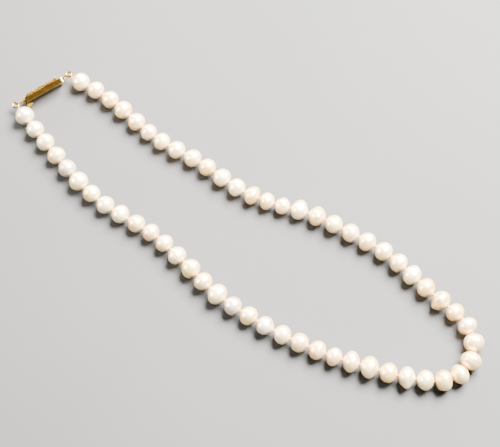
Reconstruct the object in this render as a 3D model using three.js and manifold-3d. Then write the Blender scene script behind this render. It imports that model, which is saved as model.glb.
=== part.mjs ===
// Pearl necklace: one knotted strand of 59 freshwater pearls, closed by a filigree box clasp.
// Millimetres, +Z up. The closed necklace lies on a flat surface at z = 0, as a long loop along X.
// The clasp leans on its long edge at the -X end. The strand runs from jump ring A along the
// +Y side, round the +X end, and back along the -Y side to jump ring B.

import * as THREE from 'three';
import * as BufferGeometryUtils from 'three/addons/utils/BufferGeometryUtils.js';
import Module from 'manifold-3d';

const wasm = await Module();
wasm.setup();

// ---------------------------------------------------------------- driving dimensions

// Strand
const PEARL_COUNT = 59;
const PEARL_LENGTH = 6.9; // along the thread
const PEARL_WIDTH = 7.25; // across the thread
const FRONT_GROWTH = 0.75; // how much wider the middle pearls of the strand are
const FRONT_PEARL = 30; // the pearl that the growth is centred on
const FRONT_SPREAD = 9; // pearls either side over which it fades
const LENGTH_SPREAD = 0.2; // pearl-to-pearl variation
const WIDTH_SPREAD = 0.3;
const KNOT_GAP = 0.5; // space for one knot between two pearls
const BORE_RADIUS = 0.42;
const THREAD_RADIUS = 0.25;
const KNOT_RADIUS = 0.55;
const KNOT_HALF_LENGTH = 0.17;
const END_KNOT_REACH = 0.22; // from the first or last pearl's knot gap out to the end knot
const THREAD_END_REACH = 0.45;
const PEARLS_PER_LINK = 4;

// Pearls that differ from their neighbours: number from jump ring A, [length, width].
const ODD_PEARLS = new Map([
  [1, [7.2, 7.6]],
  [2, [6.7, 7.2]],
  [4, [7.1, 7.3]],
  [6, [6.2, 7.0]],
  [7, [6.4, 7.2]],
  [12, [6.8, 7.3]],
  [13, [6.1, 7.3]],
  [14, [6.0, 7.1]],
  [15, [6.0, 6.9]],
  [17, [6.9, 7.6]],
  [23, [6.7, 7.9]],
  [26, [6.6, 7.4]],
  [27, [6.3, 7.8]],
  [28, [7.1, 7.9]],
  [29, [7.1, 8.1]],
  [30, [6.5, 7.9]],
  [31, [6.4, 7.9]],
  [32, [6.6, 7.8]],
  [33, [6.4, 7.8]],
  [35, [7.0, 8.0]],
  [36, [6.4, 7.9]],
  [37, [6.1, 7.4]],
  [38, [6.6, 7.4]],
  [44, [7.3, 8.2]],
  [45, [6.7, 7.6]],
  [46, [7.3, 7.7]],
  [48, [6.6, 7.3]],
  [49, [6.4, 7.2]],
  [54, [7.2, 7.6]],
  [59, [7.2, 7.7]],
]);

// The way the thread lies, from the gimp at jump ring A to the gimp at jump ring B.
const ROUTE = [
  [-94.5, 24.8],
  [-84, 25.1],
  [-73, 24.2],
  [-61, 21.5],
  [-50.5, 19.7],
  [-40, 19.5],
  [-28, 19.7],
  [-17.5, 18.5],
  [-7, 18],
  [3, 19.2],
  [12.5, 21.6],
  [23, 24],
  [34, 24.5],
  [45, 24.9],
  [56, 24.3],
  [66, 21.9],
  [76.5, 19.2],
  [87.6, 17.2],
  [95.6, 14.6],
  [100.6, 10],
  [102.9, 3],
  [101.2, -4.8],
  [96.4, -9.6],
  [89.5, -13.2],
  [80, -16.6],
  [69.6, -19.1],
  [59, -22],
  [49, -23.5],
  [38.5, -24.9],
  [27.7, -25.3],
  [16.5, -25.1],
  [5.4, -24.3],
  [-5.5, -21.3],
  [-16.3, -18.6],
  [-27, -16.2],
  [-37.3, -15.7],
  [-48.5, -15.7],
  [-59.6, -14.3],
  [-70.7, -11.2],
  [-81.2, -7.5],
  [-92, -3.5],
  [-99, -0.9],
  [-105.3, 1.8],
];

// Clasp. Its own frame has +X along the box towards the mouth, +Y towards the inside of the
// necklace, and Z up, with the origin on the surface under the middle of the box. The box, its
// cover and its tongue lean together over the box's lower inner edge.
const CLASP_PLACE = [-101.54, 13.68];
const CLASP_TURN = -116; // degrees from world X to clasp X
const CLASP_LEAN = 20; // degrees from upright, top towards +Y
const BOX_LENGTH = 17.2;
const BOX_HEIGHT = 7;
const BOX_THICKNESS = 2.2;
const BOX_WALL = 0.35;
const MID_HEIGHT = BOX_HEIGHT / 2;
const LINK_HEIGHT = 3.8; // eyes, rings and gimp above the surface

// Tongue and its spring
const TONGUE_HEIGHT = 5.4;
const TONGUE_REACH = 9.6; // how far the fold lies inside the mouth
const LEAF_THICKNESS = 0.3;
const TONGUE_Y = -0.5; // middle of the base leaf, across the box
const FOLD_GAP = 0.3;
const SPRING_RISE = 0.35; // how far the free end of the spring stands open
const CAP_GAP = 0.3;

// Push tab, in X and Y from the box's middle
const TAB_HEIGHT = 3;
const TAB_KNEE = [8.65, 2.95]; // where the tab turns back over the box
const TAB_END = [6.6, 2.6];
const LIP_START_Y = 1.65; // the lip's edge nearest to the box
const LIP_INSET = 0.5;

// Eyes, rings and gimp
const EYE_WIRE = 0.22;
const EYE_RADIUS = 0.72;
const EYE_PLACE_Y = -0.58;
const RING_WIRE = 0.38;
const RING_RADIUS = 1.15;
const RING_A_PLACE = [-12.38, -0.93]; // in the clasp's frame
const RING_B_PLACE = [12.94, -0.64];
const GIMP_WIRE = 0.18;
const GIMP_RADIUS = 0.68;

// Filigree cover
const COVER_LENGTH = 15;
const FRAME_WIRE = 0.42;
const SCROLL_COLUMNS = 5;
const SCROLL_WIRE = 0.2;
const GRAIN_RADIUS = 0.6;
const COVER_GAP = 0.12;

// Facets
const PEARL_SIDES = 10;
const WIRE_SIDES = 8;
const SMALL_SIDES = 6; // knots, bores and filigree wire

// ---------------------------------------------------------------- materials

function metal(color, roughness) {
  return new THREE.MeshStandardMaterial({ color, roughness, metalness: 1 });
}

const gold = metal('#d9a441', 0.12);
const paleGold = metal('#e2b860', 0.22);
const springGold = metal('#c9963a', 0.2);
const nacre = new THREE.MeshStandardMaterial({ color: '#f1e6dc', roughness: 0.25, metalness: 0 });
const silk = new THREE.MeshStandardMaterial({ color: '#ead3c0', roughness: 0.9, metalness: 0 });

// ---------------------------------------------------------------- solids

function weld(geometry) {
  const bare = geometry.clone();
  bare.deleteAttribute('normal');
  bare.deleteAttribute('uv');
  return BufferGeometryUtils.mergeVertices(bare, 1e-4);
}

function solid(geometry) {
  const welded = weld(geometry);
  return new wasm.Manifold(
    new wasm.Mesh({
      numProp: 3,
      vertProperties: new Float32Array(welded.attributes.position.array),
      triVerts: new Uint32Array(welded.index.array),
    }),
  );
}

function geometryOf(manifold) {
  const mesh = manifold.getMesh();
  const geometry = new THREE.BufferGeometry();
  geometry.setAttribute('position', new THREE.BufferAttribute(mesh.vertProperties, 3));
  geometry.setIndex(new THREE.BufferAttribute(mesh.triVerts, 1));
  geometry.computeVertexNormals();
  return geometry;
}

function join(geometries) {
  return geometries.map(solid).reduce((whole, piece) => whole.add(piece));
}

function box(x, y, z) {
  const [low, high] = [0, 1].map((end) => new THREE.Vector3(x[end], y[end], z[end]));
  const size = high.clone().sub(low);
  const middle = high.add(low).divideScalar(2);
  return new THREE.BoxGeometry(size.x, size.y, size.z).translate(middle.x, middle.y, middle.z);
}

// A curve that is straight between its corners, with a tube ring exactly on each corner.
class CorneredPath extends THREE.Curve {
  constructor(corners) {
    super();
    this.corners = corners;
  }

  getPoint(t) {
    const last = this.corners.length - 1;
    const place = Math.min(Math.max(t, 0), 1) * last;
    const before = Math.min(Math.floor(place + 1e-6), last - 1);
    return this.corners[before].clone().lerp(this.corners[before + 1], place - before);
  }

  getPointAt(t) {
    return this.getPoint(t);
  }

  getTangentAt(t) {
    const last = this.corners.length - 1;
    const corner = Math.round(t * last);
    const after = this.corners[Math.min(corner + 1, last)];
    const before = this.corners[Math.max(corner - 1, 0)];
    return after.clone().sub(before).normalize();
  }
}

function tube(corners, radius, sides = WIRE_SIDES) {
  const section = new THREE.Shape();
  for (let side = 0; side < sides; side += 1) {
    const angle = (2 * Math.PI * side) / sides;
    const x = radius * Math.cos(angle);
    const y = radius * Math.sin(angle);
    if (side === 0) section.moveTo(x, y);
    else section.lineTo(x, y);
  }
  section.closePath();
  return new THREE.ExtrudeGeometry(section, {
    steps: corners.length - 1,
    extrudePath: new CorneredPath(corners),
    bevelEnabled: false,
  });
}

// ---------------------------------------------------------------- strand layout

function vary(number, salt) {
  const wave = Math.sin(number * 12.9898 + salt * 78.233) * 43758.5453;
  return wave - Math.floor(wave) - 0.5;
}

function pearlSize(number) {
  if (ODD_PEARLS.has(number)) return ODD_PEARLS.get(number);
  const front = Math.exp(-(((number - FRONT_PEARL) / FRONT_SPREAD) ** 2));
  return [
    PEARL_LENGTH + LENGTH_SPREAD * vary(number, 1),
    PEARL_WIDTH + FRONT_GROWTH * front + WIDTH_SPREAD * vary(number, 2),
  ];
}

// Knots sit where two pearls meet. They are spaced by the pearls' lengths, and the whole string
// is stretched by a hair so that it fills the route exactly. Each knot is as high as the middle
// of its wider neighbour, so no pearl reaches below the surface.
function layOutStrand() {
  const route = new THREE.CatmullRomCurve3(
    ROUTE.map(([x, y]) => new THREE.Vector3(x, y, 0)),
    false,
    'catmullrom',
    0.5,
  );
  route.arcLengthDivisions = 4000;
  const reach = [0];
  const sizes = [];
  for (let number = 1; number <= PEARL_COUNT; number += 1) {
    const size = pearlSize(number);
    sizes.push(size);
    reach.push(reach[number - 1] + size[0] + KNOT_GAP);
  }
  const knots = reach.map((distance, index) => {
    const knot = route.getPointAt(distance / reach[PEARL_COUNT]);
    const before = sizes[Math.max(index - 1, 0)][1];
    const after = sizes[Math.min(index, PEARL_COUNT - 1)][1];
    knot.z = Math.max(before, after) / 2;
    return knot;
  });
  const pearls = sizes.map(([, width], index) => {
    const start = knots[index];
    const end = knots[index + 1];
    return {
      number: index + 1,
      start,
      end,
      middle: start.clone().lerp(end, 0.5),
      direction: end.clone().sub(start).normalize(),
      length: start.distanceTo(end) - KNOT_GAP,
      width,
    };
  });
  return { knots, pearls };
}

const strand = layOutStrand();

// ---------------------------------------------------------------- pearls

const PEARL_LATITUDES = [-62, -32, 0, 32, 62];

function pearlOutline(pearl) {
  return PEARL_LATITUDES.map((latitude) => {
    const angle = THREE.MathUtils.degToRad(latitude);
    const radius = (pearl.width / 2) * Math.cos(angle);
    return new THREE.Vector2(radius, (pearl.length / 2) * Math.sin(angle));
  });
}

// A lathe turns about Y with one facet's edge straight down, then lies along the thread.
function alongThread(geometry, pearl) {
  const side = new THREE.Vector3(0, 0, 1).cross(pearl.direction).normalize();
  const up = pearl.direction.clone().cross(side);
  const turn = new THREE.Matrix4().makeBasis(side, pearl.direction, up.negate());
  return geometry.applyMatrix4(turn.setPosition(pearl.middle));
}

function drilledPearl(pearl) {
  const mouth = (pearl.length / 2) * 0.985;
  const profile = [new THREE.Vector2(BORE_RADIUS, -mouth), ...pearlOutline(pearl)];
  profile.push(new THREE.Vector2(BORE_RADIUS, mouth), profile[0].clone());
  return alongThread(new THREE.LatheGeometry(profile, PEARL_SIDES), pearl);
}

function wholePearl(pearl) {
  const tip = pearl.length / 2;
  const profile = [new THREE.Vector2(0, -tip), ...pearlOutline(pearl), new THREE.Vector2(0, tip)];
  return alongThread(new THREE.LatheGeometry(profile, PEARL_SIDES), pearl);
}

// Two neighbours held together by the knot between them, with one bore through both.
function pearlPair(first, second) {
  const knot = first.end;
  const reach = KNOT_GAP / 2 + 0.35;
  const neck = tube(
    [
      knot.clone().addScaledVector(first.direction, -reach),
      knot,
      knot.clone().addScaledVector(second.direction, reach),
    ],
    KNOT_RADIUS + 0.15,
    SMALL_SIDES,
  );
  const bore = tube(
    [
      first.start.clone().addScaledVector(first.direction, -0.5),
      knot,
      second.end.clone().addScaledVector(second.direction, 0.5),
    ],
    BORE_RADIUS,
    SMALL_SIDES,
  );
  return geometryOf(join([wholePearl(first), wholePearl(second), neck]).subtract(solid(bore)));
}

function padded(number) {
  return String(number).padStart(2, '0');
}

function addPearls(necklace) {
  const add = (name, geometry) => {
    const mesh = new THREE.Mesh(geometry, nacre);
    mesh.name = name;
    necklace.add(mesh);
  };
  for (let first = 1; first <= PEARL_COUNT; first += PEARLS_PER_LINK) {
    const link = strand.pearls.slice(first - 1, first - 1 + PEARLS_PER_LINK);
    if (link.length < PEARLS_PER_LINK) {
      link.forEach((pearl) => add(`pearl_${padded(pearl.number)}`, drilledPearl(pearl)));
      continue;
    }
    const [start, second, third, end] = link;
    add(`pearl_${padded(start.number)}`, drilledPearl(start));
    add(`pearls_${padded(second.number)}_${padded(third.number)}`, pearlPair(second, third));
    add(`pearl_${padded(end.number)}`, drilledPearl(end));
  }
}

// ---------------------------------------------------------------- thread

// Closed tube through stations { middle, direction, radius }, each one a ring across the tube.
function sweep(stations, sides) {
  const positions = [];
  const triangles = [];
  stations.forEach(({ middle, direction, radius }) => {
    const side = new THREE.Vector3(0, 0, 1).cross(direction).normalize();
    const up = direction.clone().cross(side);
    for (let step = 0; step < sides; step += 1) {
      const angle = (2 * Math.PI * step) / sides;
      const point = middle.clone();
      point.addScaledVector(side, radius * Math.cos(angle));
      point.addScaledVector(up, radius * Math.sin(angle));
      positions.push(point.x, point.y, point.z);
    }
  });
  for (let ring = 0; ring < stations.length - 1; ring += 1) {
    for (let step = 0; step < sides; step += 1) {
      const here = ring * sides + step;
      const next = ring * sides + ((step + 1) % sides);
      triangles.push(here, next, next + sides, here, next + sides, here + sides);
    }
  }
  const end = (stations.length - 1) * sides;
  for (let step = 1; step < sides - 1; step += 1) {
    triangles.push(0, step + 1, step);
    triangles.push(end, end + step, end + step + 1);
  }
  const geometry = new THREE.BufferGeometry();
  geometry.setAttribute('position', new THREE.Float32BufferAttribute(positions, 3));
  geometry.setIndex(triangles);
  geometry.computeVertexNormals();
  return geometry;
}

// The knot inside a joined pair belongs to that pair, so the thread carries only the others. The
// last link is short and has no pair.
function isFreeKnot(index) {
  const wholeLinks = PEARL_COUNT - (PEARL_COUNT % PEARLS_PER_LINK);
  return index > wholeLinks || index % PEARLS_PER_LINK !== 2;
}

// The end knots sit just outside the first and last knot gaps, next to the gimp.
function knotOffset(index) {
  if (index === 0) return -END_KNOT_REACH;
  return index === PEARL_COUNT ? END_KNOT_REACH : 0;
}

function silkThread() {
  const { knots, pearls } = strand;
  const stations = [];
  knots.forEach((knot, index) => {
    const before = pearls[Math.max(index - 1, 0)].direction;
    const after = pearls[Math.min(index, PEARL_COUNT - 1)].direction;
    const direction = before.clone().add(after).normalize();
    const station = (along, radius) => {
      stations.push({ middle: knot.clone().addScaledVector(direction, along), direction, radius });
    };
    if (!isFreeKnot(index)) {
      station(0, THREAD_RADIUS);
      return;
    }
    const middle = knotOffset(index);
    if (index === 0) station(-THREAD_END_REACH, THREAD_RADIUS);
    station(middle - KNOT_HALF_LENGTH, THREAD_RADIUS);
    station(middle - KNOT_HALF_LENGTH / 2, KNOT_RADIUS);
    station(middle + KNOT_HALF_LENGTH / 2, KNOT_RADIUS);
    station(middle + KNOT_HALF_LENGTH, THREAD_RADIUS);
    if (index === PEARL_COUNT) station(THREAD_END_REACH, THREAD_RADIUS);
  });
  return sweep(stations, SMALL_SIDES);
}

// ---------------------------------------------------------------- rings, eyes and gimp

// Jump ring: a flat wire ring lying level.
function jumpRing() {
  return new THREE.TorusGeometry(RING_RADIUS, RING_WIRE, WIRE_SIDES, 20);
}

// Eye: a long upright wire staple that leaves a plate along +X and holds a ring in its bend.
function eye(legLength) {
  const bendSteps = 8;
  const corners = [new THREE.Vector3(0, 0, -EYE_RADIUS)];
  for (let step = 0; step <= bendSteps; step += 1) {
    const angle = -Math.PI / 2 + (Math.PI * step) / bendSteps;
    const x = legLength + EYE_RADIUS * Math.cos(angle);
    corners.push(new THREE.Vector3(x, 0, EYE_RADIUS * Math.sin(angle)));
  }
  corners.push(new THREE.Vector3(0, 0, EYE_RADIUS));
  return tube(corners, EYE_WIRE);
}

// Gimp: the coil-covered end of the thread, closed round the ring as a small upright loop.
function gimpLoop() {
  return new THREE.TorusGeometry(GIMP_RADIUS, GIMP_WIRE, WIRE_SIDES, 16).rotateX(Math.PI / 2);
}

// ---------------------------------------------------------------- clasp pieces

const HALF_LENGTH = BOX_LENGTH / 2;
const HALF_THICKNESS = BOX_THICKNESS / 2;

// Box: a flat sleeve with a closed end, open at the mouth for the tongue.
function claspBox() {
  const outer = box(
    [-HALF_LENGTH, HALF_LENGTH],
    [-HALF_THICKNESS, HALF_THICKNESS],
    [0, BOX_HEIGHT],
  );
  const inner = box(
    [-HALF_LENGTH + BOX_WALL, HALF_LENGTH + 1],
    [-HALF_THICKNESS + BOX_WALL, HALF_THICKNESS - BOX_WALL],
    [BOX_WALL, BOX_HEIGHT - BOX_WALL],
  );
  return geometryOf(solid(outer).subtract(solid(inner)));
}

// An oval ring of wire standing against the box's outer side.
function scroll(halfWidth, halfHeight) {
  const ring = new THREE.TorusGeometry(halfWidth, SCROLL_WIRE, 4, 10).rotateX(Math.PI / 2);
  return ring.scale(1, 1, halfHeight / halfWidth);
}

function grain() {
  return new THREE.SphereGeometry(GRAIN_RADIUS, SMALL_SIDES, 4);
}

// Cover: a wire frame filled with two rows of oval scrolls and a row of grains, proud of the outer side.
function filigreeCover() {
  const halfLength = COVER_LENGTH / 2;
  const halfHeight = MID_HEIGHT - 0.35;
  const y = -HALF_THICKNESS - COVER_GAP;
  const frame = solid(
    box([-halfLength, halfLength], [y - FRAME_WIRE, y], [-halfHeight, halfHeight]),
  ).subtract(
    solid(
      box(
        [-halfLength + FRAME_WIRE, halfLength - FRAME_WIRE],
        [y - 1, y + 1],
        [-halfHeight + FRAME_WIRE, halfHeight - FRAME_WIRE],
      ),
    ),
  );
  const pitch = (2 * (halfLength - FRAME_WIRE / 2)) / SCROLL_COLUMNS;
  const row = (halfHeight - FRAME_WIRE / 2) / 2;
  const pieces = [];
  for (let column = 0; column < SCROLL_COLUMNS; column += 1) {
    const x = (column - (SCROLL_COLUMNS - 1) / 2) * pitch;
    [-row, row].forEach((z) => pieces.push(scroll(pitch / 2, row).translate(x, y - 0.35, z)));
    pieces.push(grain().translate(x, y - 0.55, 0));
  }
  return geometryOf(frame.add(join(pieces))).translate(0, 0, MID_HEIGHT);
}

// Tongue: the base leaf that slides in the box, with the cap plate outside the mouth.
function claspTongue() {
  const low = MID_HEIGHT - TONGUE_HEIGHT / 2;
  const high = MID_HEIGHT + TONGUE_HEIGHT / 2;
  const capX = HALF_LENGTH + CAP_GAP;
  const halfLeaf = LEAF_THICKNESS / 2;
  const leafY = [TONGUE_Y - halfLeaf, TONGUE_Y + halfLeaf];
  const leaf = box([HALF_LENGTH - TONGUE_REACH, capX + 0.1], leafY, [low, high]);
  const cap = box([capX, capX + 0.35], [-HALF_THICKNESS, -0.1], [0.5, BOX_HEIGHT - 0.5]);
  return geometryOf(join([leaf, cap]));
}

function plate(corners, low, high) {
  const outline = new THREE.Shape(corners.map(([x, y]) => new THREE.Vector2(x, y)));
  const depth = high - low;
  return new THREE.ExtrudeGeometry(outline, { depth, bevelEnabled: false }).translate(0, 0, low);
}

// Spring: the upper leaf, from the fold to the mouth, then out and back as the push tab. A lip
// closes the top of the tab.
function tongueSpring() {
  const half = LEAF_THICKNESS / 2;
  const foldX = HALF_LENGTH - TONGUE_REACH;
  const foldY = TONGUE_Y + LEAF_THICKNESS + FOLD_GAP;
  const mouthX = HALF_LENGTH + CAP_GAP;
  const riseY = foldY + SPRING_RISE;
  const low = MID_HEIGHT - TAB_HEIGHT / 2;
  const high = MID_HEIGHT + TAB_HEIGHT / 2;
  const leaf = [
    [foldX, foldY - half],
    [mouthX, riseY - half],
    [mouthX + LEAF_THICKNESS, riseY - half],
    TAB_KNEE,
    TAB_END,
    [TAB_END[0], TAB_END[1] - LEAF_THICKNESS],
    [TAB_KNEE[0] - LEAF_THICKNESS, TAB_KNEE[1] - LEAF_THICKNESS],
    [mouthX, riseY + half],
    [foldX, foldY + half],
  ];
  const lip = [
    [mouthX + LEAF_THICKNESS * 0.7, riseY + half],
    TAB_KNEE,
    TAB_END,
    [TAB_END[0] + LIP_INSET, LIP_START_Y],
    [HALF_LENGTH + 0.15, LIP_START_Y],
    [mouthX, riseY + half],
  ];
  return geometryOf(join([plate(leaf, low, high), plate(lip, high - LEAF_THICKNESS, high)]));
}

// ---------------------------------------------------------------- assembly

function named(name, geometry, material) {
  const mesh = new THREE.Mesh(geometry, material);
  mesh.name = name;
  return mesh;
}

// Puts an eye on a plate at clasp X = plateX so that it points at the middle of a ring.
function addEye(clasp, name, plateX, ringPlace) {
  const across = ringPlace[1] - EYE_PLACE_Y;
  const along = ringPlace[0] - plateX;
  const distance = Math.hypot(along, across);
  const mesh = named(name, eye(distance - RING_RADIUS), gold);
  mesh.position.set(plateX, EYE_PLACE_Y, LINK_HEIGHT);
  mesh.rotation.z = Math.atan2(across, along);
  clasp.add(mesh);
}

function addRing(clasp, name, ringPlace) {
  const mesh = named(name, jumpRing(), gold);
  mesh.position.set(ringPlace[0], ringPlace[1], LINK_HEIGHT);
  clasp.add(mesh);
}

function buildClasp() {
  const clasp = new THREE.Group();
  clasp.position.set(CLASP_PLACE[0], CLASP_PLACE[1], 0);
  clasp.rotation.z = THREE.MathUtils.degToRad(CLASP_TURN);
  const lean = THREE.MathUtils.degToRad(CLASP_LEAN);
  const leaning = new THREE.Group();
  leaning.rotation.x = -lean;
  leaning.position.set(0, -Math.sin(lean) * MID_HEIGHT, Math.sin(lean) * HALF_THICKNESS);
  leaning.add(named('clasp_box', claspBox(), gold));
  leaning.add(named('filigree_cover', filigreeCover(), paleGold));
  leaning.add(named('clasp_tongue', claspTongue(), springGold));
  leaning.add(named('tongue_spring', tongueSpring(), springGold));
  clasp.add(leaning);
  addEye(clasp, 'box_eye', -HALF_LENGTH - 0.15, RING_A_PLACE);
  addEye(clasp, 'tongue_eye', HALF_LENGTH + CAP_GAP + 0.5, RING_B_PLACE);
  addRing(clasp, 'jump_ring_a', RING_A_PLACE);
  addRing(clasp, 'jump_ring_b', RING_B_PLACE);
  return clasp;
}

// A gimp loop stands upright round the ring's wire, on the side towards the end of the thread.
function addGimp(necklace, name, ring, knot) {
  const mesh = named(name, gimpLoop(), paleGold);
  const direction = knot.clone().sub(ring).setZ(0).normalize();
  mesh.position.copy(ring).addScaledVector(direction, RING_RADIUS);
  mesh.rotation.z = Math.atan2(direction.y, direction.x);
  necklace.add(mesh);
}

function buildNecklace() {
  const necklace = new THREE.Group();
  const clasp = buildClasp();
  clasp.updateMatrixWorld(true);
  necklace.add(clasp);
  const ringA = clasp.getObjectByName('jump_ring_a').getWorldPosition(new THREE.Vector3());
  const ringB = clasp.getObjectByName('jump_ring_b').getWorldPosition(new THREE.Vector3());
  addGimp(necklace, 'gimp_a', ringA, strand.knots[0]);
  addGimp(necklace, 'gimp_b', ringB, strand.knots[PEARL_COUNT]);
  addPearls(necklace);
  necklace.add(named('silk_thread', silkThread(), silk));
  return necklace;
}

const necklace = buildNecklace();
const extent = new THREE.Box3().setFromObject(necklace, true);
const centre = extent.getCenter(new THREE.Vector3());
necklace.position.set(-centre.x, -centre.y, -extent.min.z);

export default necklace;
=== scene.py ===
"""Pearl necklace: the looks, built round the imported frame. Lengths in the helpers are millimetres."""

import bisect
import math
import random

import bpy
from mathutils import Matrix, Vector


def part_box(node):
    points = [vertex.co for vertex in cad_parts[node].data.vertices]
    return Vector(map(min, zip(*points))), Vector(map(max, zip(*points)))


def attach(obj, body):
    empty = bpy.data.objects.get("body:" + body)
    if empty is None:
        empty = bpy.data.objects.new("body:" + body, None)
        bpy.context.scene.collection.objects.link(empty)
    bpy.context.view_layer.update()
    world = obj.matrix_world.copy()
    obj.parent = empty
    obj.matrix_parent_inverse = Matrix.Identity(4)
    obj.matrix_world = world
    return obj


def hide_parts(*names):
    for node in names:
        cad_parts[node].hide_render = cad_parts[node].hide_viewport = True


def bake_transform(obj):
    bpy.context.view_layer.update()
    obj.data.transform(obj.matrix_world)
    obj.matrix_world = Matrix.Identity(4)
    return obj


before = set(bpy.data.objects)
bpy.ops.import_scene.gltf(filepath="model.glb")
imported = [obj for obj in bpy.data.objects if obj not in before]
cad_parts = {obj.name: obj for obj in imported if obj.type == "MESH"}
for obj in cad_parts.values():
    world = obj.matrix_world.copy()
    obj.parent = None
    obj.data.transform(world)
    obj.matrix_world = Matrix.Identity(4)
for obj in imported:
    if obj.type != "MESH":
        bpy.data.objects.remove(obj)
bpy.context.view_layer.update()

MM = 0.001
UP = Vector((0, 0, 1))

# ---------------- the strand's dimensions
# The same driving dimensions and route as the CAD part has.

PEARL_COUNT = 59
PEARL_LENGTH = 6.9
PEARL_WIDTH = 7.25
FRONT_GROWTH = 0.75
FRONT_PEARL = 30
FRONT_SPREAD = 9
LENGTH_SPREAD = 0.2
WIDTH_SPREAD = 0.3
KNOT_GAP = 0.5
BORE_RADIUS = 0.42
THREAD_RADIUS = 0.25
PEARLS_PER_LINK = 4

# Length and width of the pearls that differ visibly from the general run.
ODD_PEARLS = {
    1: (7.2, 7.6), 2: (6.7, 7.2), 4: (7.1, 7.3), 6: (6.2, 7.0), 7: (6.4, 7.2), 12: (6.8, 7.3),
    13: (6.1, 7.3), 14: (6.0, 7.1), 15: (6.0, 6.9), 17: (6.9, 7.6), 23: (6.7, 7.9), 26: (6.6, 7.4),
    27: (6.3, 7.8), 28: (7.1, 7.9), 29: (7.1, 8.1), 30: (6.5, 7.9), 31: (6.4, 7.9), 32: (6.6, 7.8),
    33: (6.4, 7.8), 35: (7.0, 8.0), 36: (6.4, 7.9), 37: (6.1, 7.4), 38: (6.6, 7.4), 44: (7.3, 8.2),
    45: (6.7, 7.6), 46: (7.3, 7.7), 48: (6.6, 7.3), 49: (6.4, 7.2), 54: (7.2, 7.6), 59: (7.2, 7.7),
}

# The strand's way over the surface, from the box's end of the clasp round to the tongue's end.
ROUTE = [
    (-94.5, 24.8), (-84, 25.1), (-73, 24.2), (-61, 21.5), (-50.5, 19.7), (-40, 19.5), (-28, 19.7),
    (-17.5, 18.5), (-7, 18), (3, 19.2), (12.5, 21.6), (23, 24), (34, 24.5), (45, 24.9), (56, 24.3),
    (66, 21.9), (76.5, 19.2), (87.6, 17.2), (95.6, 14.6), (100.6, 10), (102.9, 3), (101.2, -4.8),
    (96.4, -9.6), (89.5, -13.2), (80, -16.6), (69.6, -19.1), (59, -22), (49, -23.5), (38.5, -24.9),
    (27.7, -25.3), (16.5, -25.1), (5.4, -24.3), (-5.5, -21.3), (-16.3, -18.6), (-27, -16.2),
    (-37.3, -15.7), (-48.5, -15.7), (-59.6, -14.3), (-70.7, -11.2), (-81.2, -7.5), (-92, -3.5),
    (-99, -0.9), (-105.3, 1.8),
]

CLASP_PLACE = (-101.54, 13.68)
CLASP_TURN = math.radians(-116)
CLASP_LEAN = math.radians(20)
BOX_LENGTH = 17.2
BOX_HEIGHT = 7.0
BOX_THICKNESS = 2.2
BOX_WALL = 0.35
MID_HEIGHT = BOX_HEIGHT / 2
LINK_HEIGHT = 3.8
CAP_GAP = 0.3
TONGUE_Y = -0.5
TAB_HEIGHT = 3
TAB_KNEE = (8.65, 2.95)
TAB_END = (6.6, 2.6)
COVER_LENGTH = 15
EYE_WIRE = 0.22
EYE_RADIUS = 0.72
EYE_PLACE_Y = -0.58
RING_WIRE = 0.38
RING_RADIUS = 1.15
RING_A_PLACE = (-12.38, -0.93)
RING_B_PLACE = (12.94, -0.64)
GIMP_WIRE = 0.18
GIMP_RADIUS = 0.68

# The CAD model is centred on its box after it is laid out. The clasp box gives that shift.
BOX_LOW, BOX_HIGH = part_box("clasp_box")
SHIFT = Vector((
    (BOX_LOW[0] + BOX_HIGH[0]) / 2 / MM - CLASP_PLACE[0],
    (BOX_LOW[1] + BOX_HIGH[1]) / 2 / MM - CLASP_PLACE[1],
    0,
))
CLASP = (
    Matrix.Translation(Vector((CLASP_PLACE[0], CLASP_PLACE[1], 0)) + SHIFT)
    @ Matrix.Rotation(CLASP_TURN, 4, "Z")
)
# The box, its cover and its tongue lean together over the box's lower inner edge.
LEANING = (
    CLASP
    @ Matrix.Translation((
        0, -math.sin(CLASP_LEAN) * MID_HEIGHT, math.sin(CLASP_LEAN) * BOX_THICKNESS / 2
    ))
    @ Matrix.Rotation(-CLASP_LEAN, 4, "X")
)

# ---------------- camera and stage

CAMERA_ELEVATION = math.radians(70)
CAMERA_HEADING = math.radians(31)
CAMERA_DISTANCE = 480
CAMERA_TARGET = Vector((0.85, 8.7, 0)) + SHIFT
FOCAL_PIXELS = 1200
IMAGE_WIDTH = 500
SENSOR_WIDTH = 36
CLIP_NEAR, CLIP_FAR = 0.01, 10

IMAGE_RIGHT = Vector((math.cos(CAMERA_HEADING), math.sin(CAMERA_HEADING), 0))
IMAGE_UP = Vector((-math.sin(CAMERA_HEADING), math.cos(CAMERA_HEADING), 0))


def look_at(obj, place, target):
    """Puts obj at place, looking along its -Z at target."""
    obj.location = place * MM
    obj.rotation_euler = (target - place).to_track_quat("-Z", "Y").to_euler()


def add_camera():
    data = bpy.data.cameras.new("camera")
    data.sensor_width = SENSOR_WIDTH
    data.lens = SENSOR_WIDTH * FOCAL_PIXELS / IMAGE_WIDTH
    data.clip_start = CLIP_NEAR
    data.clip_end = CLIP_FAR
    camera = bpy.data.objects.new("camera", data)
    bpy.context.scene.collection.objects.link(camera)
    back = -IMAGE_UP * math.cos(CAMERA_ELEVATION) + UP * math.sin(CAMERA_ELEVATION)
    look_at(camera, CAMERA_TARGET + back * CAMERA_DISTANCE, CAMERA_TARGET)
    bpy.context.scene.camera = camera


add_camera()

# ---------------- materials
# Noise scales are cycles per metre, and bump distances are metres.

# Sockets of the colour Mix node, which have the same names for every data type.
MIX_FACTOR, MIX_FIRST, MIX_SECOND, MIX_RESULT = 0, 6, 7, 2


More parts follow.
